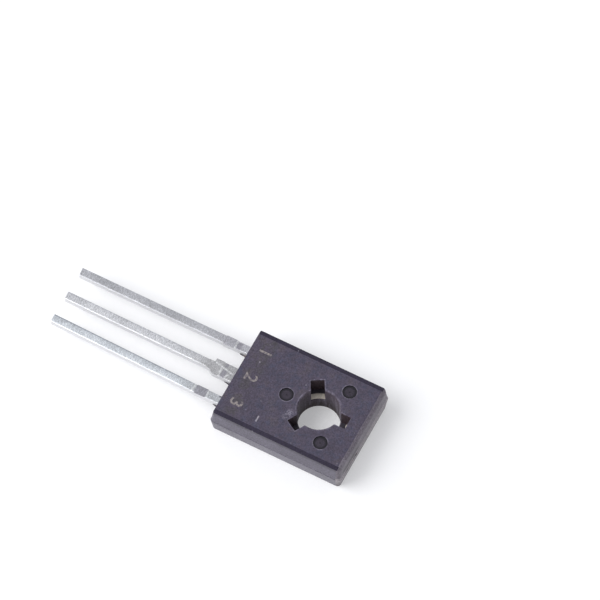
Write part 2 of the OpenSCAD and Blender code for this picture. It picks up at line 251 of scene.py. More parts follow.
# Moulded resin of the body
resin = {
    "face": "#463f4f",        # front face: fine spark-eroded grain
    "faceCool": "#3d3d50",    # bluish bloom in patches
    "faceWarm": "#443c40",
    "wall": "#605c69",        # drafted walls, drawn paler as a painted reflection of the pale table
    "wallFoot": "#706c78",    # walls below the parting line, paler again as a painted reflection of the table they face
    "end": "#67606a",         # the same on the top end
    "endFoot": "#6b656b",
    "endFootSheen": "#938c92",    # painted reflection of the table, paler again under the parting line
    "endCorner": "#726c75",   # painted light: paler at the corner towards the third lead
    "wallBrowShade": "#37323d",    # painted shade: side walls darken into the polished strips
    "endShade": "#4a444b",    # painted shadow above the flash on the top end
    "land": "#292335",        # polished strips beside the long edges
    "rim": "#6e6776",         # worn edges round dimples, hole and notches
    "dimpleRing": "#14111a",
    "dimple": "#322c37",      # polished ends of the ejector pins
    "bore": "#504652",        # wall of the hole
    "boreFoot": "#37292e",    # darker and browner towards its foot
    "boreStreak": "#7b7481",  # where the core pin dragged
    "notch": "#3f3138",       # deep notches, darker and browner
    "back": "#2b2731",
    "scratch": "#b5aeb8",
    "scuff": "#7e7986",
    "dust": "#95909c",
    "etchHaze": "#4a4340",    # brown haze that the laser leaves round its marks
    "grain": 0.11 * mm,       # spacing of the eroded grain, drawn coarse enough to show
    "mottle": 0.42 * mm,      # size of the bluish patches
    "cloud": 1.4 * mm,        # size of the faint stains
    "dustSpacing": 0.85 * mm,
    "grainDepth": 0.010 * mm,
    "wornPush": 0.09 * mm,    # how far the grain pushes a worn edge about
    # X and Y are counted from the axis of the hole, Z from the back face
    "skin": 0.01 * mm,        # depth that still counts as the front or the back face
    "landSkin": 0.045 * mm,   # the same for the polished strips
    "landSpan": (3.46 * mm, 3.8 * mm),
    "deepFrom": 0.08 * mm,    # depth at which the inside of the hole begins
    "rimBreak": 0.065 * mm,   # how far past the hole's radius the colour of its wall reaches
    "footSpan": (1.0 * mm, 0.4 * mm),    # heights between which the hole turns brown
    "streaks": 0.35 * mm,     # spacing of the core pin's marks
    "streakStretch": 0.15,
    "rubbedSpot": (-0.85 * mm, 1.42 * mm),    # bright place in the hole
    "sideWall": 3.55 * mm,    # the walls begin past these
    "topWall": 3.43 * mm,
    "leadWall": -6.84 * mm,
    "paleFrom": 0.3 * mm,     # above the parting line
    "paleFull": 0.75 * mm,
    "endFootTop": 1.46 * mm,
    "footSheenFrom": 0.25 * mm,
    "cornerSpan": (2.7 * mm, 3.5 * mm),
    "browSpan": (2.25 * mm, 2.66 * mm),       # heights between which painted shade darkens the side walls
    "hazeSpan": (-6.0 * mm, -5.3 * mm),
    "scratchLine": ((2.52 * mm, -3.66 * mm), (2.94 * mm, -3.66 * mm), 0.085 * mm),   # ends and width
    "scuffLine": ((1.15 * mm, -1.75 * mm), (1.62 * mm, -1.95 * mm), 0.34 * mm),
    "backScuffLine": ((2.0 * mm, -6.52 * mm), (2.3 * mm, -6.48 * mm), 0.2 * mm),
    "shadeHeight": (1.66 * mm, 1.84 * mm, 0.14 * mm),    # from, to and how softly
    "shadeWidth": (1.1 * mm, 3.2 * mm, 0.3 * mm),
    "holeRadius": 1.60 * mm,
    "notchEnd": 2.41 * mm,
    "notchHalf": 0.52 * mm,
    "notchTurns": (90, 210, 330),
    "dimpleCircle": 2.68 * mm,
    "dimpleTurns": (150, 270, 30),
    "dimpleRadius": 0.54 * mm,
}


def makeResin(values):
    # Black filled epoxy, transfer moulded in a spark-eroded steel cavity: a dull violet black with
    # a fine grain, glossy only where the steel was polished
    material, tree = newMaterial("mouldedEpoxyResin")
    where = addNode(tree, "ShaderNodeTexCoord").outputs["Object"]
    x, y, z = addNode(tree, "ShaderNodeSeparateXYZ", {0: where}).outputs
    flat = addNode(tree, "ShaderNodeVectorMath", {0: where, 1: (1, 1, 0)}, operation="MULTIPLY")
    absX = addNode(tree, "ShaderNodeMath", {0: x}, operation="ABSOLUTE")
    grain = addNode(tree, "ShaderNodeTexNoise", {"Vector": where, "Scale": 1 / values["grain"],
                                                 "Detail": 2.0, "Roughness": 0.7})
    mottle = addNode(tree, "ShaderNodeTexNoise", {"Vector": where, "Scale": 1 / values["mottle"],
                                                  "Detail": 3.0, "Roughness": 0.6})
    cloud = addNode(tree, "ShaderNodeTexNoise", {"Vector": where, "Scale": 1 / values["cloud"],
                                                 "Detail": 5.0, "Roughness": 0.62})
    patchy = addNode(tree, "ShaderNodeMapRange", {"Value": grain, "From Min": 0.42, "From Max": 0.62})
    worn = addNode(tree, "ShaderNodeMapRange", {"Value": mottle, "From Min": 0.40, "From Max": 0.60})
    # Edges that wear or chip are found from a place that the grain pushes about
    push = addNode(tree, "ShaderNodeVectorMath", {0: grain.outputs["Color"], 1: (0.5, 0.5, 0.5)},
                   operation="SUBTRACT")
    push = addNode(tree, "ShaderNodeVectorMath", {0: push, 1: (values["wornPush"], values["wornPush"], 0)},
                   operation="MULTIPLY")
    rough = addNode(tree, "ShaderNodeVectorMath", {0: flat, 1: push}, operation="ADD")

    # Regions of the body
    top = bodyHigh.z
    front = between(tree, z, top - values["skin"], top + beyond, 0.004 * mm)
    upper = between(tree, z, top - values["landSkin"], top + beyond, 0.004 * mm)
    land = overlap(tree, upper, between(tree, absX, *values["landSpan"], 0.015 * mm))
    deep = between(tree, z, values["skin"], top - values["deepFrom"], 0.02 * mm)
    bore = spot(tree, flat, (0, 0), values["holeRadius"] + values["rimBreak"], 0.01 * mm)
    bore = overlap(tree, bore, deep)
    foot = addNode(tree, "ShaderNodeMapRange", {"Value": z, "From Min": values["footSpan"][0],
                                                "From Max": values["footSpan"][1]})
    drag = addNode(tree, "ShaderNodeMapping", {"Vector": where,
                                               "Scale": (1.0, 1.0, values["streakStretch"])})
    drag = addNode(tree, "ShaderNodeTexNoise", {"Vector": drag, "Scale": 1 / values["streaks"],
                                                "Detail": 3.0})
    streak = addNode(tree, "ShaderNodeMapRange", {"Value": drag, "From Min": 0.50, "From Max": 0.66,
                                                  "To Max": 0.6})
    rubbed = spot(tree, flat, values["rubbedSpot"], 0.25 * mm, 0.3 * mm)
    notch = overlap(tree, spot(tree, flat, (0, 0), values["notchEnd"] + 0.05 * mm, 0.01 * mm), deep)
    wallX = between(tree, absX, values["sideWall"], 5 * mm, 0.01 * mm)
    wallTop = between(tree, y, values["topWall"], 5 * mm, 0.05 * mm)
    wallLead = between(tree, y, -9 * mm, values["leadWall"], 0.01 * mm)
    sides = addNode(tree, "ShaderNodeMath", {0: wallX, 1: wallLead}, operation="MAXIMUM")
    sides = overlap(tree, sides, between(tree, z, values["skin"], top - 0.05 * mm, 0.004 * mm))
    wall = addNode(tree, "ShaderNodeMath", {0: sides, 1: wallTop}, operation="MAXIMUM")
    sinking = addNode(tree, "ShaderNodeMapRange", {"Value": z, "From Min": partingZ + values["paleFrom"],
                                                   "From Max": values["paleFull"]})
    belowEnd = between(tree, z, values["skin"], values["endFootTop"], 0.08 * mm)
    # painted reflection on the top end, strongest just under the parting line
    footSheen = addNode(tree, "ShaderNodeMapRange", {"Value": z, "From Min": values["footSheenFrom"],
                                                 "From Max": partingZ})
    # painted light: the top end lighter towards its corner
    corner = between(tree, x, *values["cornerSpan"], 0.25 * mm)
    # painted shade along the top of the side walls, by the rounded edge
    browShade = addNode(tree, "ShaderNodeMapRange", {"Value": z, "From Min": values["browSpan"][0],
                                                "From Max": values["browSpan"][1], "To Max": 0.85})
    back = between(tree, z, -beyond, 0.004 * mm, 0.004 * mm)
    cool = addNode(tree, "ShaderNodeMapRange", {"Value": mottle, "From Min": 0.46, "From Max": 0.64,
                                                "To Max": 0.75})
    warm = addNode(tree, "ShaderNodeMapRange", {"Value": cloud, "From Min": 0.54, "From Max": 0.66,
                                                "To Max": 0.5})
    haze = overlap(tree, between(tree, y, *values["hazeSpan"], 0.5 * mm), worn, 0.5)
    layers = [(cool, values["faceCool"]), (warm, values["faceWarm"]),
              (overlap(tree, haze, front), values["etchHaze"]), (back, values["back"]),
              # painted reflection: walls paler, and paler again towards their foot, for the pale table they
              # mirror
              (wall, values["wall"]), (overlap(tree, wall, sinking), values["wallFoot"]),
              (overlap(tree, sides, wallX, browShade), values["wallBrowShade"]),
              # the same painted reflection on the top end
              (wallTop, values["end"]), (overlap(tree, wallTop, belowEnd), values["endFoot"]),
              (overlap(tree, wallTop, corner, 0.7), values["endCorner"]),
              # painted reflection under the parting line of the top end
              (overlap(tree, wallTop, belowEnd, footSheen), values["endFootSheen"]),
              (notch, values["notch"]), (bore, values["bore"]),
              (overlap(tree, bore, foot), values["boreFoot"]),
              (overlap(tree, bore, streak), values["boreStreak"]),
              (overlap(tree, bore, rubbed, 0.8), values["boreStreak"]), (land, values["land"])]

    # Worn rims of the hole and the notches
    holeRim = spot(tree, rough, (0, 0), values["holeRadius"] + 0.11 * mm, 0.06 * mm)
    rimWidth = 0.03 * mm
    rims = []
    for turn in values["notchTurns"]:
        out = (math.cos(math.radians(turn)), math.sin(math.radians(turn)), 0)
        along = addNode(tree, "ShaderNodeVectorMath", {0: rough, 1: out}, operation="DOT_PRODUCT")
        across = addNode(tree, "ShaderNodeVectorMath", {0: rough, 1: (-out[1], out[0], 0)},
                         operation="DOT_PRODUCT")
        across = addNode(tree, "ShaderNodeMath", {0: across.outputs["Value"]}, operation="ABSOLUTE")
        length = between(tree, along.outputs["Value"], 1.3 * mm, values["notchEnd"] + rimWidth, 0.05 * mm)
        breadth = between(tree, across, -beyond, values["notchHalf"] + rimWidth, 0.05 * mm)
        rims.append(overlap(tree, length, breadth))
    for rim in rims:
        holeRim = addNode(tree, "ShaderNodeMath", {0: holeRim, 1: rim}, operation="MAXIMUM")
    above = between(tree, z, top - 0.09 * mm, top + beyond, 0.01 * mm)
    layers.append((overlap(tree, holeRim, above, worn, 0.75), values["rim"]))

    # Ejector dimples with their worn rims
    polished = land
    inPin = between(tree, z, top - 0.2 * mm, top - 0.012 * mm, 0.004 * mm)
    for turn in values["dimpleTurns"]:
        place = (values["dimpleCircle"] * math.cos(math.radians(turn)),
                 values["dimpleCircle"] * math.sin(math.radians(turn)))
        radius = values["dimpleRadius"]
        ring = overlap(tree, spot(tree, rough, place, radius + rimWidth, 0.06 * mm), front, worn)
        inside = overlap(tree, spot(tree, flat, place, radius + 0.02 * mm, 0.01 * mm), inPin)
        middle = overlap(tree, spot(tree, rough, place, radius * 0.55, radius * 0.25), inPin)
        centre = overlap(tree, spot(tree, flat, place, 0.03 * mm, 0.06 * mm), inPin, 0.8)
        layers += [(ring, values["rim"]), (inside, values["dimpleRing"]), (middle, values["dimple"]),
                   (centre, values["dimpleRing"])]
        polished = addNode(tree, "ShaderNodeMath", {0: polished, 1: inside}, operation="MAXIMUM")

    # Marks of handling: a bright scratch, pale scuffs and dust; and a painted shadow above the flash
    scratch = overlap(tree, stroke(tree, rough, *values["scratchLine"]), front, 0.65)
    scuff = overlap(tree, stroke(tree, flat, *values["scuffLine"]), patchy, front, 0.7)
    backScuff = overlap(tree, stroke(tree, flat, *values["backScuffLine"]), patchy, back)
    shade = overlap(tree, between(tree, z, *values["shadeHeight"]), between(tree, x, *values["shadeWidth"]),
                    wallTop, 0.9)
    specks = addNode(tree, "ShaderNodeTexVoronoi", {"Vector": where, "Scale": 1 / values["dustSpacing"]})
    lit = addNode(tree, "ShaderNodeMapRange", {"Value": specks.outputs["Distance"], "From Min": 0.03,
                                               "From Max": 0.09, "To Min": 0.7, "To Max": 0.0})
    layers += [(scratch, values["scratch"]), (scuff, values["scuff"]), (backScuff, values["scuff"]),
               (shade, values["endShade"]), (overlap(tree, lit, worn), values["dust"])]

    colour = layerColours(tree, linear(values["face"]), layers)
    # Grain and stains darken and lighten what lies under them
    grainTone = addNode(tree, "ShaderNodeMapRange", {"Value": grain, "From Min": 0.3, "From Max": 0.7,
                                                     "To Min": 0.62, "To Max": 1.42})
    cloudTone = addNode(tree, "ShaderNodeMapRange", {"Value": cloud, "From Min": 0.3, "From Max": 0.7,
                                                     "To Min": 0.84, "To Max": 1.16})
    tone = overlap(tree, grainTone, cloudTone)
    colour = addNode(tree, "ShaderNodeVectorMath", {0: colour, "Scale": tone}, operation="SCALE")
    dull = addNode(tree, "ShaderNodeMapRange", {"Value": wall, "To Min": 0.60, "To Max": 0.40})
    gloss = addNode(tree, "ShaderNodeMapRange", {"Value": polished, "To Min": dull, "To Max": 0.24})
    smooth = addNode(tree, "ShaderNodeMapRange", {"Value": polished, "To Min": values["grainDepth"],
                                                  "To Max": values["grainDepth"] * 0.1})
    bump = addNode(tree, "ShaderNodeBump", {"Height": grain, "Strength": 0.6, "Distance": smooth})
    shader = addNode(tree, "ShaderNodeBsdfPrincipled", {"Base Color": colour, "Roughness": gloss,
                                                        "Normal": bump, "IOR": 1.45})
    addNode(tree, "ShaderNodeOutputMaterial", {0: shader})
    return material


# Tin plate of the leads
tin = {
    # middle, lean in degrees, colour of the free length and of the root, and the strength of the painted
    # shading that lightens one side of it
    "leads": [(-2.29, 0.0, "#ccccd0", "#cfced3", 0.03),
              (0.0, 0.35, "#e8e8eb", "#c6c5c6", 0.05),
              (2.29, 1.15, "#eaeef3", "#cdcfd2", 0.14)],
    "ownHalf": 0.7 * mm,      # a lead's colours reach this far from its middle
    "shadingHalf": 0.25 * mm,
    # painted shade: the span across a lead where its -X edge is drawn darker
    "shadedEdge": (-0.36 * mm, -0.25 * mm),
    "freeLength": (-22 * mm, -10.6 * mm, 1.5 * mm),    # from, to and how softly
    "bend": -8.57 * mm,       # the leads lean about the middle of the tie bar
    "blotch": 0.10,           # depth of the large stains
    "bruise": "#a5a2ab",      # where a tool pressed
    # painted highlight on bends and sheared edges
    "creaseHighlight": "#fafafa",
    "burnishAndSheen": "#dedee0",     # sides, burnished by the punch, and with a painted reflection of the pale table
    # painted shade along the -X edge of a lead
    "edge": "#b5bac4",
    "bleed": "#5d5860",       # resin that bled over the root of a lead
    "scratch": 0.22 * mm,     # length of the fine marks across the strip
    "grain": 0.10 * mm,
    "patch": 1.3 * mm,
    "marks": ((35, 0.26), (-48, 0.18)),    # turn of the fine marks, degrees, and how strong
    "roughness": 0.36,
    "bleedSpot": (1.99 * mm, -7.10 * mm),
    "creaseHighlightWidth": 0.10 * mm,
    # from, to in millimetres, and how strongly: painted highlights on bends, sheared edges and rubs that
    # catch the light
    "creaseHighlights": [((-2.62, -8.10), (-1.98, -8.06), 0.55), ((-0.02, -8.13), (0.56, -8.11), 0.6),
                ((2.0, -8.10), (2.6, -8.04), 0.6), ((0.01, -7.20), (-0.31, -8.68), 0.65),
                ((0.23, -7.43), (0.47, -7.63), 0.5), ((1.98, -9.20), (2.62, -9.27), 0.6)],
    # x from, to, y from, to, and how strongly: darker where a tool pressed
    "pressed": [(-2.52, -1.95, -7.96, -7.66, 0.8), (-2.7, -1.9, -9.0, -8.2, 0.3),
                (0.0, 0.6, -7.96, -7.64, 0.8), (-0.62, -0.28, -7.97, -7.78, 0.7),
                (1.9, 2.7, -9.04, -8.16, 0.75)],
}


def makeTin(values):
    # Matte tin electroplated on punched copper strip: soft grey-white metal, bruised by the
    # trimming tool, with painted highlights where it was bent or sheared and painted shading across each
    # lead
    material, tree = newMaterial("mattTinPlate")
    where = addNode(tree, "ShaderNodeTexCoord").outputs["Object"]
    x, y, z = addNode(tree, "ShaderNodeSeparateXYZ", {0: where}).outputs
    flat = addNode(tree, "ShaderNodeVectorMath", {0: where, 1: (1, 1, 0)}, operation="MULTIPLY")
    grain = addNode(tree, "ShaderNodeTexNoise", {"Vector": where, "Scale": 1 / values["grain"],
                                                 "Detail": 3.0})
    patches = addNode(tree, "ShaderNodeTexNoise", {"Vector": where, "Scale": 1 / values["patch"],
                                                   "Detail": 4.0})
    top = between(tree, z, leadTop - 0.02 * mm, leadTop + beyond, 0.01 * mm)
    free = between(tree, y, *values["freeLength"])
    layers, slopes = [], []
    for middle, lean, colour, rootColour, rubbed in values["leads"]:
        # Across this lead, from its middle, with the lean taken out
        slant = math.tan(math.radians(lean))
        across = addNode(tree, "ShaderNodeMath", {0: y, 1: -slant, 2: x}, operation="MULTIPLY_ADD")
        across = addNode(tree, "ShaderNodeMath", {0: across, 1: values["bend"] * slant - middle * mm},
                         operation="ADD")
        own = between(tree, across, -values["ownHalf"], values["ownHalf"], 0.1 * mm)
        # painted shading: the -X edge darker, and one side of the lead lighter than the other
        darkEdge = between(tree, across, *values["shadedEdge"], 0.04 * mm)
        layers += [(own, rootColour), (overlap(tree, own, free), colour),
                   (overlap(tree, own, free, darkEdge, min(1.0, rubbed * 6)), values["edge"])]
        slopes.append(overlap(tree, own, free, across, rubbed / values["shadingHalf"]))
    for left, right, low, high, strength in values["pressed"]:
        place = overlap(tree, between(tree, x, left * mm, right * mm, 0.03 * mm),
                        between(tree, y, low * mm, high * mm, 0.06 * mm), strength)
        layers.append((place, values["bruise"]))
    # painted highlights where bends, sheared edges and rubs catch the light
    for start, end, strength in values["creaseHighlights"]:
        line = stroke(tree, flat, [v * mm for v in start], [v * mm for v in end], values["creaseHighlightWidth"])
        layers.append((overlap(tree, line, top, strength), values["creaseHighlight"]))
    bleed = overlap(tree, spot(tree, flat, values["bleedSpot"], 0.06 * mm, 0.10 * mm), top, 0.9)
    layers.append((bleed, values["bleed"]))
    colour = layerColours(tree, linear(values["leads"][1][2]), layers)

    # Stains, fine marks in two directions, grain and painted shading across each lead make it lighter and
    # darker
    depth = values["blotch"]
    tone = addNode(tree, "ShaderNodeMapRange", {"Value": patches, "From Min": 0.35, "From Max": 0.65,
                                                "To Min": 1 - depth, "To Max": 1 + depth * 0.6})
    marks = grain
    for turn, strength in values["marks"]:
        turned = addNode(tree, "ShaderNodeMapping", {0: where, "Rotation": (0, 0, math.radians(turn)),
                                                     "Scale": (1.0, 4.0, 1.0)})
        marks = addNode(tree, "ShaderNodeTexNoise", {"Vector": turned, "Scale": 1 / values["scratch"],
                                                     "Detail": 3.0, "Roughness": 0.65})
        share = addNode(tree, "ShaderNodeMapRange", {"Value": marks, "From Min": 0.34, "From Max": 0.66,
                                                     "To Min": 1 - strength, "To Max": 1 + strength * 0.7})
        tone = overlap(tree, tone, share)
    grainTone = addNode(tree, "ShaderNodeMapRange", {"Value": grain, "From Min": 0.34, "From Max": 0.66,
                                                     "To Min": 0.84, "To Max": 1.12})
    tone = overlap(tree, tone, grainTone)
    acrossShading = slopes[0]
    for slope in (*slopes[1:], 1.0):
        acrossShading = addNode(tree, "ShaderNodeMath", {0: acrossShading, 1: slope}, operation="ADD")
    colour = addNode(tree, "ShaderNodeVectorMath", {0: colour, "Scale": overlap(tree, tone, acrossShading)},
                     operation="SCALE").outputs[0]
    # The sides are drawn brighter than the face: burnished by the punch, and a painted reflection of the
    # pale table
    facing = addNode(tree, "ShaderNodeNewGeometry").outputs["Normal"]
    sideways = addNode(tree, "ShaderNodeSeparateXYZ", {0: facing}).outputs[0]
    sideways = addNode(tree, "ShaderNodeMath", {0: sideways}, operation="ABSOLUTE")
    burnishAndSheen = addNode(tree, "ShaderNodeMapRange", {"Value": sideways, "From Min": 0.5, "From Max": 0.8})
    colour = layerColours(tree, colour, [(burnishAndSheen, values["burnishAndSheen"])])
    bump = addNode(tree, "ShaderNodeBump", {"Height": marks, "Strength": 0.5, "Distance": 0.008 * mm})
    bump = addNode(tree, "ShaderNodeBump", {"Height": grain, "Strength": 0.4, "Distance": 0.008 * mm,
                                            "Normal": bump})
    gloss = addNode(tree, "ShaderNodeMapRange", {"Value": marks, "To Min": values["roughness"] - 0.06,
                                                 "To Max": values["roughness"] + 0.1})
    shader = addNode(tree, "ShaderNodeBsdfPrincipled", {"Base Color": colour, "Metallic": 1.0,
                                                        "Roughness": gloss, "Normal": bump})
    addNode(tree, "ShaderNodeOutputMaterial", {0: shader})
    return material


# Heat sink pad
pad = {
    "plate": "#e2e0da",
    "cool": "#ccd4d3",
    "worn": "#f1e9da",
    "pit": "#9c9a97",
    "flash": "#332e38",       # ragged film of resin that crept over the edges of the pad; the same dark colour lies over notch bottoms
    "mottle": 0.75 * mm,
    "pits": 0.16 * mm,
    "roughness": 0.44,
    "blasted": 0.85,          # how dull the bottom of a notch is
    "blastedTone": "#f3e9da",
    "tumbled": ((20, 9.0), (-35, 11.0), (75, 10.0)),   # turn of the scratches, and their stretch
    "tumbledSpacing": 0.9 * mm,
    "filmWidth": (0.24 * mm, 0.20 * mm),   # of the film along the long edges
    "filmRagged": 0.55 * mm,
    "upperNotch": 1.2 * mm,   # one notch lies past this along Y, another past this along X
    "rightNotch": 0.9 * mm,
    "clearFrom": 2.32 * mm,   # along Y, where the resin in the upper notch stopped
    "clearSlant": 0.35,
    "clearRagged": 0.36 * mm,
    "outerEnd": (2.04 * mm, 2.14 * mm),    # from the axis, where the film in the third begins
}


def makePad(values):
    # Thick copper strip rolled, punched and barrel plated with tin: a satin warm grey with a
    # crystalline mottle and fine tumbling scratches in all directions
    material, tree = newMaterial("barrelPlatedTin")
    where = addNode(tree, "ShaderNodeTexCoord").outputs["Object"]
    x, y, z = addNode(tree, "ShaderNodeSeparateXYZ", {0: where}).outputs
    mottle = addNode(tree, "ShaderNodeTexNoise", {"Vector": where, "Scale": 1 / values["mottle"],
                                                  "Detail": 5.0, "Roughness": 0.66, "Distortion": 0.8})
    pits = addNode(tree, "ShaderNodeTexNoise", {"Vector": where, "Scale": 1 / values["pits"],
                                                "Detail": 3.0, "Roughness": 0.7})
    cool = addNode(tree, "ShaderNodeMapRange", {"Value": mottle, "From Min": 0.44, "From Max": 0.62})
    worn = addNode(tree, "ShaderNodeMapRange", {"Value": mottle, "From Min": 0.44, "From Max": 0.30,
                                                "To Max": 0.8})
    pitted = addNode(tree, "ShaderNodeMapRange", {"Value": pits, "From Min": 0.60, "From Max": 0.74})
    # Film of resin at the long edges, only where the back is bare
    edge = addNode(tree, "ShaderNodeMath", {0: x}, operation="ABSOLUTE")
    creep = addNode(tree, "ShaderNodeMath", {0: mottle, 1: -values["filmRagged"], 2: edge},
                    operation="MULTIPLY_ADD")
    film = addNode(tree, "ShaderNodeMapRange", {"Value": creep,
                                                "From Min": padHigh.x - values["filmWidth"][0],
                                                "From Max": padHigh.x - values["filmWidth"][1]})
    bare = between(tree, z, -beyond, 0.01 * mm, 0.01 * mm)
    # The same dark colour lies over the bottom of two of the three notches; the outer end of the upper one
    # stays clear behind a slanted, ragged edge
    flat = addNode(tree, "ShaderNodeVectorMath", {0: where, 1: (1, 1, 0)}, operation="MULTIPLY")
    notches = addNode(tree, "ShaderNodeMath", {0: between(tree, y, values["upperNotch"], 3 * mm, 0.02 * mm),
                                               1: between(tree, x, values["rightNotch"], 3 * mm, 0.02 * mm)},
                      operation="MAXIMUM")
    slant = addNode(tree, "ShaderNodeMath", {0: x, 1: -values["clearSlant"], 2: y}, operation="MULTIPLY_ADD")
    slant = addNode(tree, "ShaderNodeMath", {0: mottle, 1: values["clearRagged"], 2: slant},
                    operation="MULTIPLY_ADD")
    reached = addNode(tree, "ShaderNodeMapRange", {"Value": slant, "From Min": values["clearFrom"],
                                                   "From Max": values["clearFrom"] + 0.03 * mm,
                                                   "To Min": 1.0, "To Max": 0.0})
    bottom = between(tree, z, padHigh.z - 0.02 * mm, 2 * mm, 0.01 * mm)
    # and darker along the outer end of the third
    out = addNode(tree, "ShaderNodeVectorMath", {0: flat}, operation="LENGTH")
    outer = addNode(tree, "ShaderNodeMapRange", {"Value": out.outputs["Value"],
                                                 "From Min": values["outerEnd"][0],
                                                 "From Max": values["outerEnd"][1]})
    notches = addNode(tree, "ShaderNodeMath", {0: notches, 1: outer}, operation="MAXIMUM")
    darkenedNotches = overlap(tree, notches, reached, bottom)
    layers = [(cool, values["cool"]), (worn, values["worn"]), (pitted, values["pit"]),
              (bottom, values["blastedTone"])]
    colour = layerColours(tree, linear(values["plate"]), layers)
    for turn, stretch in values["tumbled"]:
        lines = addNode(tree, "ShaderNodeMapping", {0: where, "Rotation": (0, 0, math.radians(turn)),
                                                    "Scale": (1.0, stretch, 1.0)})
        lines = addNode(tree, "ShaderNodeTexNoise", {"Vector": lines, "Scale": 1 / values["tumbledSpacing"],
                                                     "Detail": 2.0})
        tone = addNode(tree, "ShaderNodeMapRange", {"Value": lines, "From Min": 0.34, "From Max": 0.66,
                                                    "To Min": 0.93, "To Max": 1.05})
        colour = addNode(tree, "ShaderNodeVectorMath", {0: colour, "Scale": tone},
                         operation="SCALE").outputs[0]
    covered = addNode(tree, "ShaderNodeMath", {0: overlap(tree, film, bare), 1: darkenedNotches},
                      operation="MAXIMUM")
    colour = layerColours(tree, colour, [(covered, values["flash"])])
    # Blasting left the bottom of the clear notch dull, and a little warmer
    dull = overlap(tree, bottom, values["blasted"])
    metal = addNode(tree, "ShaderNodeMath", {0: 1.0, 1: covered}, operation="SUBTRACT")
    metal = addNode(tree, "ShaderNodeMath", {0: metal, 1: dull}, operation="SUBTRACT", use_clamp=True)
    bump = addNode(tree, "ShaderNodeBump", {"Height": pits, "Strength": 0.5, "Distance": 0.008 * mm})
    bump = addNode(tree, "ShaderNodeBump", {"Height": mottle, "Strength": 0.4, "Distance": 0.02 * mm,
                                            "Normal": bump})
    shader = addNode(tree, "ShaderNodeBsdfPrincipled", {"Base Color": colour, "Metallic": metal,
                                                        "Roughness": values["roughness"], "Normal": bump})
    addNode(tree, "ShaderNodeOutputMaterial", {0: shader})
    return material


# Chip, its solder and the bond wires, which the resin hides
inside = {
    "silicon": "#7f8795",
    "solder": "#9b9a9c",
    "wire": "#e6e6e8",
    "sawMarks": 0.05 * mm,
    "solderLumps": 0.3 * mm,
    "drawLines": 0.03 * mm,
}


def makeInside(values):
    made = {}
    # Silicon: sawn from a polished wafer, a hard blue-grey mirror with faint saw marks on its sides
    made["silicon"], tree = newMaterial("sawnSilicon")
    where = addNode(tree, "ShaderNodeTexCoord").outputs["Object"]
    marks = addNode(tree, "ShaderNodeMapping", {0: where, "Scale": (0.1, 0.1, 1.0)})
    marks = addNode(tree, "ShaderNodeTexNoise", {"Vector": marks, "Scale": 1 / values["sawMarks"]})
    gloss = addNode(tree, "ShaderNodeMapRange", {"Value": marks, "To Min": 0.08, "To Max": 0.22})
    bump = addNode(tree, "ShaderNodeBump", {"Height": marks, "Strength": 0.3, "Distance": 0.002 * mm})
    shader = addNode(tree, "ShaderNodeBsdfPrincipled", {"Base Color": linear(values["silicon"]),
                                                        "Metallic": 1.0, "Roughness": gloss,
                                                        "Normal": bump})
    addNode(tree, "ShaderNodeOutputMaterial", {0: shader})

    # High-lead solder, melted under the chip: dull grey and slightly lumpy
    made["solder"], tree = newMaterial("softSolder")
    where = addNode(tree, "ShaderNodeTexCoord").outputs["Object"]
    lumps = addNode(tree, "ShaderNodeTexNoise", {"Vector": where, "Scale": 1 / values["solderLumps"],
                                                 "Detail": 4.0})
    tone = addNode(tree, "ShaderNodeMapRange", {"Value": lumps, "From Min": 0.3, "From Max": 0.7,
                                                "To Min": 0.8, "To Max": 1.1})
    colour = addNode(tree, "ShaderNodeVectorMath", {0: linear(values["solder"])[:3], "Scale": tone},
                     operation="SCALE")
    bump = addNode(tree, "ShaderNodeBump", {"Height": lumps, "Strength": 0.5, "Distance": 0.02 * mm})
    shader = addNode(tree, "ShaderNodeBsdfPrincipled", {"Base Color": colour, "Metallic": 1.0,
                                                        "Roughness": 0.48, "Normal": bump})
    addNode(tree, "ShaderNodeOutputMaterial", {0: shader})

    # Aluminium wire, drawn and wedge bonded: bright, with fine lines along it
    made["wire"], tree = newMaterial("drawnAluminiumWire")
    where = addNode(tree, "ShaderNodeTexCoord").outputs["Object"]
    lines = addNode(tree, "ShaderNodeMapping", {0: where, "Scale": (1.0, 0.08, 1.0)})
    lines = addNode(tree, "ShaderNodeTexNoise", {"Vector": lines, "Scale": 1 / values["drawLines"]})
    tone = addNode(tree, "ShaderNodeMapRange", {"Value": lines, "From Min": 0.3, "From Max": 0.7,
                                                "To Min": 0.86, "To Max": 1.04})
    colour = addNode(tree, "ShaderNodeVectorMath", {0: linear(values["wire"])[:3], "Scale": tone},
                     operation="SCALE")
    shader = addNode(tree, "ShaderNodeBsdfPrincipled", {"Base Color": colour, "Metallic": 1.0,
                                                        "Roughness": 0.28})
    addNode(tree, "ShaderNodeOutputMaterial", {0: shader})
    return made


def dress(material, *names):
    for name in names:
        mesh = nodes[name].data
        mesh.materials.clear()
        mesh.materials.append(material)


dress(makeResin(resin), "epoxy_body")
insideMaterials = makeInside(inside)
dress(makeTin(tin), "collector_lead", "emitter_lead", "base_lead")
dress(makePad(pad), "heat_sink_pad")
dress(insideMaterials["silicon"], "silicon_die")
dress(insideMaterials["solder"], "die_solder")
dress(insideMaterials["wire"], "emitter_wire", "base_wire")
print("materials assigned")

# Pin numbers etched into the front face
etching = {
    "numbers": "123",
    "size": 1.4 * mm,          # of the type, whose numbers stand 1 mm high
    "fromEnd": 1.35 * mm,      # middle of a number to the lead end of the front face
    "weight": 0.010 * mm,      # widens the strokes to the track of the beam
    "proud": 0.003 * mm,
    "weld": 0.0005 * mm,       # points closer than this are joined
    "burnt": "#8f8785",
    "skipped": "#5d5760",
    "skips": 0.13 * mm,        # spacing of the places where the beam skipped
}


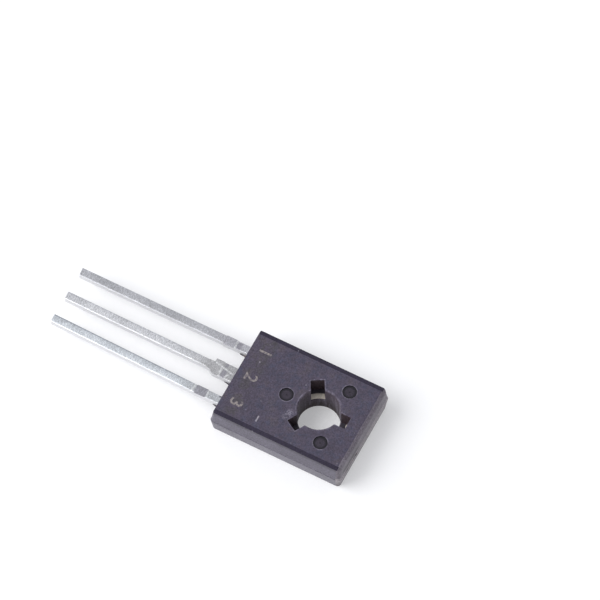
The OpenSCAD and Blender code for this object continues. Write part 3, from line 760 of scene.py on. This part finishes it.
def placePiece(name, mesh):
    obj = bpy.data.objects.new(name, mesh)
    bpy.context.scene.collection.objects.link(obj)
    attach(obj, "root")


def makeEtchedMaterial(values):
    # Laser marking: the beam burns the top of the resin off and leaves a dry beige-grey track,
    # paler where it dwelt and patchy where it skipped
    material, tree = newMaterial("laserEtchedResin")
    where = addNode(tree, "ShaderNodeTexCoord").outputs["Object"]
    skips = addNode(tree, "ShaderNodeTexNoise", {"Vector": where, "Scale": 1 / values["skips"],
                                                 "Detail": 3.0})
    share = addNode(tree, "ShaderNodeMapRange", {"Value": skips, "From Min": 0.34, "From Max": 0.58})
    colour = layerColours(tree, linear(values["skipped"]), [(share, values["burnt"])])
    bump = addNode(tree, "ShaderNodeBump", {"Height": skips, "Strength": 0.6, "Distance": 0.01 * mm})
    shader = addNode(tree, "ShaderNodeBsdfPrincipled", {"Base Color": colour, "Roughness": 0.85,
                                                        "Normal": bump, "IOR": 1.45})
    addNode(tree, "ShaderNodeOutputMaterial", {0: shader})
    return material


def makeEtching(values):
    bm = bmesh.new()
    middle = bodyLow.y + values["fromEnd"]
    for index, number in enumerate(values["numbers"]):
        data = bpy.data.curves.new("etch" + number, "FONT")
        data.body = number
        data.size = values["size"]
        data.align_x, data.align_y = "CENTER", "CENTER"
        data.offset = values["weight"]
        data.extrude = values["proud"]
        data.resolution_u = 6
        text = bpy.data.objects.new("etch" + number, data)
        mesh = bpy.data.meshes.new_from_object(text)
        part = bmesh.new()
        part.from_mesh(mesh)
        bmesh.ops.remove_doubles(part, verts=part.verts, dist=values["weld"])
        bmesh.ops.translate(part, vec=((index - 1) * pitch, middle, bodyHigh.z), verts=part.verts)
        bmesh.ops.recalc_face_normals(part, faces=part.faces)
        part.to_mesh(mesh)
        part.free()
        bm.from_mesh(mesh)
        bpy.data.objects.remove(text)
        bpy.data.meshes.remove(mesh)
    mesh = bpy.data.meshes.new("pinNumbers")
    bm.to_mesh(mesh)
    bm.free()
    mesh.materials.append(makeEtchedMaterial(values))
    placePiece("pinNumbers", mesh)


makeEtching(etching)
print("pin numbers etched")

# Flash: films of resin that crept between the mould halves
flash = {
    "colour": "#3d383e",
    "thin": "#c9b3ae",         # the film is almost clear where it runs out
    "ribbon": (0.95 * mm, 3.45 * mm),   # from, to along the top end
    "ribbonReach": 0.06 * mm,
    "seat": 0.02 * mm,         # how far a film starts inside the wall that it grows from
    "ribbonDrop": 0.01 * mm,
    "sliver": 0.60 * mm,       # along a lead
    "sliverWidth": 0.24 * mm,
    "sliverTaper": 0.7,
    # for each lead, from its middle to its side in millimetres, and how large its sliver is
    "slivers": ((0.34, 1.0), (0.60, 1.0), (0.34, 0.7)),
    "inset": 0.03 * mm,        # how far a film reaches back past the line it is drawn along
    "thickness": 0.025 * mm,
    "waves": 0.35 * mm,
    "mean": 0.55,              # usual width as a share of the reach, and how much it varies
    "swing": 0.6,
    "runOut": 6,               # a film comes to its full width in one sixth of its length
}


def makeFlashMaterial(values):
    # Squeezed epoxy film: brittle, slightly glossy and paler than the body towards its torn edge
    material, tree = newMaterial("squeezedEpoxyFilm")
    where = addNode(tree, "ShaderNodeTexCoord").outputs["Object"]
    ragged = addNode(tree, "ShaderNodeTexNoise", {"Vector": where, "Scale": 1 / values["waves"],
                                                  "Detail": 4.0})
    share = addNode(tree, "ShaderNodeMapRange", {"Value": ragged, "From Min": 0.56, "From Max": 0.74,
                                                 "To Max": 0.5})
    colour = layerColours(tree, linear(values["colour"]), [(share, values["thin"])])
    bump = addNode(tree, "ShaderNodeBump", {"Height": ragged, "Strength": 0.5, "Distance": 0.02 * mm})
    shader = addNode(tree, "ShaderNodeBsdfPrincipled", {"Base Color": colour, "Roughness": 0.42,
                                                        "Normal": bump, "IOR": 1.5})
    addNode(tree, "ShaderNodeOutputMaterial", {0: shader})
    return material


def makeFilm(values, start, end, outward, reach, taper):
    # A thin plate in the parting plane along a wall, torn to a wavy edge on the outward side
    start, end, outward = Vector(start), Vector(end), Vector(outward)
    inset = values["inset"]
    bm = bmesh.new()
    bmesh.ops.create_grid(bm, x_segments=40, y_segments=1, size=0.5)
    for vert in bm.verts:
        along, out = vert.co.x + 0.5, vert.co.y + 0.5
        wave = noise.noise((start + (end - start) * along) / values["waves"])
        ends = min(1.0, values["runOut"] * along, values["runOut"] * (1 - along))
        width = reach * (values["mean"] + values["swing"] * wave) * ends * (1 - taper * along)
        vert.co = start + (end - start) * along + outward * (out * (max(width, 0) + inset) - inset)
    extruded = bmesh.ops.extrude_face_region(bm, geom=bm.faces[:])["geom"]
    raised = [item for item in extruded if isinstance(item, bmesh.types.BMVert)]
    bmesh.ops.translate(bm, vec=(0, 0, values["thickness"]), verts=raised)
    bmesh.ops.recalc_face_normals(bm, faces=bm.faces)
    # Extruding leaves the side faces in an order that changes from run to run, so all are sorted
    for index, face in enumerate(sorted(bm.faces, key=lambda face: face.calc_center_median()[:])):
        face.index = index
    bm.faces.sort()
    return bm


def makeFlash(values):
    material = makeFlashMaterial(values)
    left, right = values["ribbon"]
    wallY, height = bodyHigh.y - values["seat"], partingZ - values["ribbonDrop"]
    ribbon = makeFilm(values, (left, wallY, height), (right, wallY, height), (0, 1, 0),
                      values["ribbonReach"], 0.0)
    mesh = bpy.data.meshes.new("partingFlash")
    ribbon.to_mesh(mesh)
    ribbon.free()
    mesh.materials.append(material)
    placePiece("partingFlash", mesh)

    whole = bpy.data.meshes.new("leadFlash")
    slivers = bmesh.new()
    for index, (half, share) in enumerate(values["slivers"]):
        side = (index - 1) * pitch + half * mm
        root = (side, bodyLow.y + values["seat"], partingZ)
        tip = (side, bodyLow.y - values["sliver"] * share, partingZ)
        sliver = makeFilm(values, root, tip, (1, 0, 0), values["sliverWidth"] * share,
                          values["sliverTaper"])
        sliver.to_mesh(whole)
        sliver.free()
        slivers.from_mesh(whole)
    slivers.to_mesh(whole)
    slivers.free()
    whole.materials.append(material)
    placePiece("leadFlash", whole)


makeFlash(flash)
print("flash left on the parting line")

bpy.context.scene.view_settings.view_transform = "Standard"
